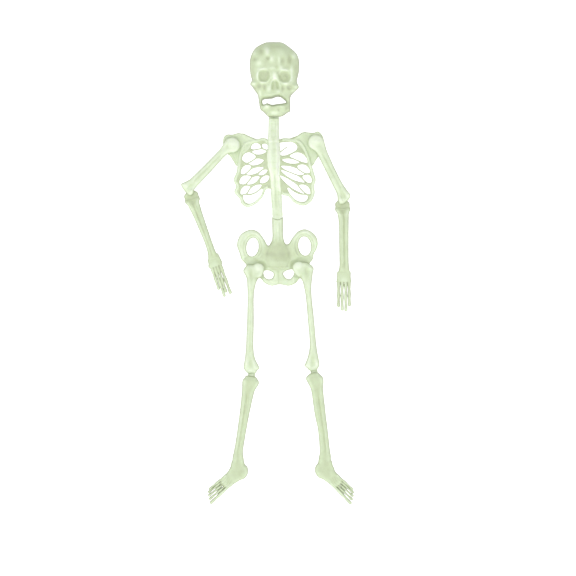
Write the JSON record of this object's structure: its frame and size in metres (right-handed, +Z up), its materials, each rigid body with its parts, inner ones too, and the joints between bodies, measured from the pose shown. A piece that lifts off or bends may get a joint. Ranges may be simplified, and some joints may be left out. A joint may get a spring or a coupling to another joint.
{
  "type": "halloween skeleton figure",
  "caption": "Flat jointed glow-in-the-dark skeleton decoration, moulded in open-backed half relief and riveted at neck, waist, shoulders, elbows, hips and knees.",
  "frame": {"origin": "centre of the hanging hole in the eyelet plate behind the crown, at the plate's back face", "axes": "+Z up along the figure, -Y out of the front, +X to the viewer's right, which is the figure's own left"},
  "size_m": [0.3336, 0.032, 0.8963],
  "materials": {
    "glow_plastic": "satin, translucent pale green, glow pigment",
    "rivet_plastic": "satin natural nylon"
  },
  "bodies": {
    "skull": {"skull": "glow_plastic", "rivet_neck": "rivet_plastic"},
    "torso": {"torso": "glow_plastic", "rivet_waist": "rivet_plastic"},
    "pelvis": {"pelvis": "glow_plastic"},
    "upper_arm_r": {"upper_arm_r": "glow_plastic", "rivet_shoulder_r": "rivet_plastic", "rivet_elbow_r": "rivet_plastic"},
    "upper_arm_l": {"upper_arm_l": "glow_plastic", "rivet_shoulder_l": "rivet_plastic", "rivet_elbow_l": "rivet_plastic"},
    "forearm_r": {"forearm_hand_r": "glow_plastic"},
    "forearm_l": {"forearm_hand_l": "glow_plastic"},
    "thigh_r": {"thigh_r": "glow_plastic", "rivet_hip_r": "rivet_plastic"},
    "thigh_l": {"thigh_l": "glow_plastic", "rivet_hip_l": "rivet_plastic"},
    "shin_r": {"shin_foot_r": "glow_plastic", "rivet_knee_r": "rivet_plastic"},
    "shin_l": {"shin_foot_l": "glow_plastic", "rivet_knee_l": "rivet_plastic"}
  },
  "joints": [
    {"name": "neck", "type": "hinge", "parent": "skull", "child": "torso", "pos_m": [0, -0.003, -0.126], "axis": [0, 1, 0], "range_deg": [-12, 12]},
    {"name": "waist", "type": "hinge", "parent": "torso", "child": "pelvis", "pos_m": [0.007, -0.003, -0.325], "axis": [0, 1, 0], "range_deg": [-12, 12]},
    {"name": "shoulder_r", "type": "hinge", "parent": "torso", "child": "upper_arm_r", "pos_m": [-0.081, -0.003, -0.191], "axis": [0, 1, 0], "range_deg": [-10, 95]},
    {"name": "shoulder_l", "type": "hinge", "parent": "torso", "child": "upper_arm_l", "pos_m": [0.081, -0.003, -0.186], "axis": [0, -1, 0], "range_deg": [-8, 112]},
    {"name": "elbow_r", "type": "hinge", "parent": "upper_arm_r", "child": "forearm_r", "pos_m": [-0.1627, -0.003, -0.2825], "axis": [0, -1, 0], "range_deg": [-60, 12]},
    {"name": "elbow_l", "type": "hinge", "parent": "upper_arm_l", "child": "forearm_l", "pos_m": [0.1324, -0.003, -0.2994], "axis": [0, 1, 0], "range_deg": [-25, 16]},
    {"name": "hip_r", "type": "hinge", "parent": "pelvis", "child": "thigh_r", "pos_m": [-0.031, -0.003, -0.432], "axis": [0, 1, 0], "range_deg": [-8, 45]},
    {"name": "hip_l", "type": "hinge", "parent": "pelvis", "child": "thigh_l", "pos_m": [0.048, -0.003, -0.429], "axis": [0, -1, 0], "range_deg": [-12, 45]},
    {"name": "knee_r", "type": "hinge", "parent": "thigh_r", "child": "shin_r", "pos_m": [-0.044, -0.003, -0.6505], "axis": [0, -1, 0], "range_deg": [-50, 25]},
    {"name": "knee_l", "type": "hinge", "parent": "thigh_l", "child": "shin_l", "pos_m": [0.082, -0.003, -0.6475], "axis": [0, 1, 0], "range_deg": [-50, 25]}
  ]
}
